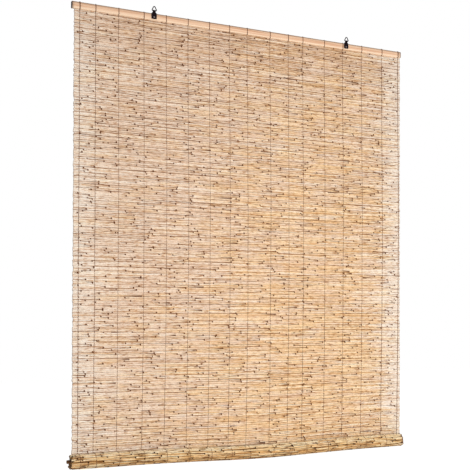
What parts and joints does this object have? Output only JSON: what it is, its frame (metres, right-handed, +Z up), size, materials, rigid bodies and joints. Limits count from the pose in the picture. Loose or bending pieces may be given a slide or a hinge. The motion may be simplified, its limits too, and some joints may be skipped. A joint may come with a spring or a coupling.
{
  "type": "roll-up reed blind",
  "caption": "Roll-up window blind: a mat of thin natural reeds bound by brown warp threads, hung from a wooden batten by ring hangers, its lower end rolled up around a rod.",
  "frame": {"origin": "midway along the batten, level with the seats in the crowns of the two hanger rings where hooks hold the blind, and in the plane of the rings", "axes": "+X along the batten to the right as seen from the front, -Y towards the front where the roll is, +Z up"},
  "size_m": [1.228, 0.0521, 1.4436],
  "materials": {
    "pine": "planed, uncoated softwood",
    "reed": "natural reed with brown nodes, dull sheen",
    "reed_back": "back of the mat, a little darker and more golden",
    "dark_cane": "dark stained stick",
    "warp_thread": "brown twined thread",
    "black_steel": "black lacquer, semi-gloss",
    "bright_steel": "zinc plated"
  },
  "bodies": {
    "blind": {"head_batten": "pine", "reed_mat": "reed", "bottom_roll": "reed_back", "bottom_rod": "dark_cane", "hanger_strap_left": "black_steel", "hanger_strap_right": "black_steel", "hanger_screw_left": "bright_steel", "hanger_screw_right": "bright_steel", "warp_thread_01": "warp_thread", "warp_thread_02": "warp_thread", "warp_thread_03": "warp_thread", "warp_thread_04": "warp_thread", "warp_thread_05": "warp_thread", "warp_thread_06": "warp_thread", "warp_thread_07": "warp_thread", "warp_thread_08": "warp_thread", "warp_thread_09": "warp_thread", "warp_thread_10": "warp_thread", "warp_thread_11": "warp_thread", "warp_thread_12": "warp_thread", "warp_thread_13": "warp_thread", "warp_thread_14": "warp_thread", "warp_thread_15": "warp_thread", "warp_thread_16": "warp_thread", "warp_thread_17": "warp_thread"},
    "left_ring": {"hanger_ring_left": "black_steel"},
    "right_ring": {"hanger_ring_right": "black_steel"}
  },
  "joints": [
    {"name": "left_ring_swing", "type": "hinge", "parent": "blind", "child": "left_ring", "pos_m": [-0.343, 0, -0.0118], "axis": [1, 0, 0], "range_deg": [-100, 160]},
    {"name": "right_ring_swing", "type": "hinge", "parent": "blind", "child": "right_ring", "pos_m": [0.373, 0, -0.0118], "axis": [1, 0, 0], "range_deg": [-100, 160]}
  ]
}
